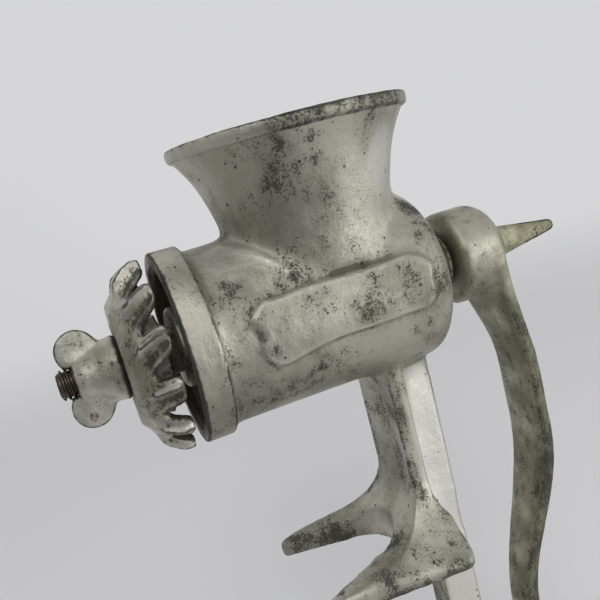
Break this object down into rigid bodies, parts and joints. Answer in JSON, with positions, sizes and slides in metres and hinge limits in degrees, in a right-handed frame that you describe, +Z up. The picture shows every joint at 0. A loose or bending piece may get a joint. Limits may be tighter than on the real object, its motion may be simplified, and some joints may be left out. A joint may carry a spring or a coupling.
{
  "type": "meat grinder",
  "caption": "Clamp-on hand meat grinder: tinned cast-iron body with a round hopper, a worm, a crown cutter held by a wing nut, an S-bowed crank with a wooden grip and a table clamp.",
  "frame": {"origin": "on the face that rests on the table, below the front face of the leg, in the grinder's middle plane", "axes": "+X from the cutter back along the barrel to the crank, +Z up away from the table, +Y to the right of somebody who looks from the crank to the cutter"},
  "size_m": [0.2331, 0.079, 0.2628],
  "materials": {
    "tinned_iron": "tinned, mottled and pitted",
    "worn_tinned_iron": "tinned, worn bright on the edges",
    "blackened_steel": "darkened",
    "red_fibre": "pressed fibre",
    "turned_beech": "turned and oiled"
  },
  "bodies": {
    "stand": {"body": "tinned_iron"},
    "rotor": {"worm": "worn_tinned_iron", "front_stud": "blackened_steel", "thrust_washer": "red_fibre"},
    "cutter": {"cutter": "worn_tinned_iron"},
    "nut": {"wing_nut": "worn_tinned_iron"},
    "crank": {"crank": "tinned_iron", "grip_spindle": "blackened_steel", "grip_washers": "blackened_steel"},
    "thumb_screw": {"thumb_screw": "worn_tinned_iron"},
    "grip": {"wooden_grip": "turned_beech"},
    "pad": {"clamp_pad": "worn_tinned_iron"},
    "clamp_screw": {"clamp_screw": "worn_tinned_iron"}
  },
  "joints": [
    {"name": "crank_turn", "type": "hinge", "parent": "stand", "child": "rotor", "pos_m": [0, 0, 0.0955], "axis": [1, 0, 0], "continuous": true},
    {"name": "cutter_shift", "type": "slide", "parent": "rotor", "child": "cutter", "axis": [1, 0, 0], "range_m": [-0.004, 0.003]},
    {"name": "nut_turn", "type": "hinge", "parent": "cutter", "child": "nut", "pos_m": [-0.085, 0, 0.0955], "axis": [1, 0, 0], "range_deg": [-910, 685]},
    {"name": "crank_draw", "type": "slide", "parent": "rotor", "child": "crank", "axis": [1, 0, 0], "range_m": [0, 0.006]},
    {"name": "thumb_screw_turn", "type": "hinge", "parent": "crank", "child": "thumb_screw", "pos_m": [0.06, 0, 0.0955], "axis": [1, 0, 0], "range_deg": [0, 1535]},
    {"name": "grip_spin", "type": "hinge", "parent": "crank", "child": "grip", "pos_m": [0.09, 0, -0.0885], "axis": [1, 0, 0], "continuous": true},
    {"name": "clamp_travel", "type": "slide", "parent": "stand", "child": "pad", "axis": [0, 0, 1], "range_m": [-0.014, 0.018]},
    {"name": "clamp_screw_turn", "type": "hinge", "parent": "pad", "child": "clamp_screw", "pos_m": [-0.026, 0, -0.06], "axis": [0, 0, 1], "range_deg": [-2585, 3322]}
  ],
  "couplings": [
    {"joint": "nut_turn", "follows": "cutter_shift", "rad_per_m": 3957.9},
    {"joint": "thumb_screw_turn", "follows": "crank_draw", "rad_per_m": 4452.8},
    {"joint": "clamp_screw_turn", "follows": "clamp_travel", "rad_per_m": 3215.6}
  ]
}
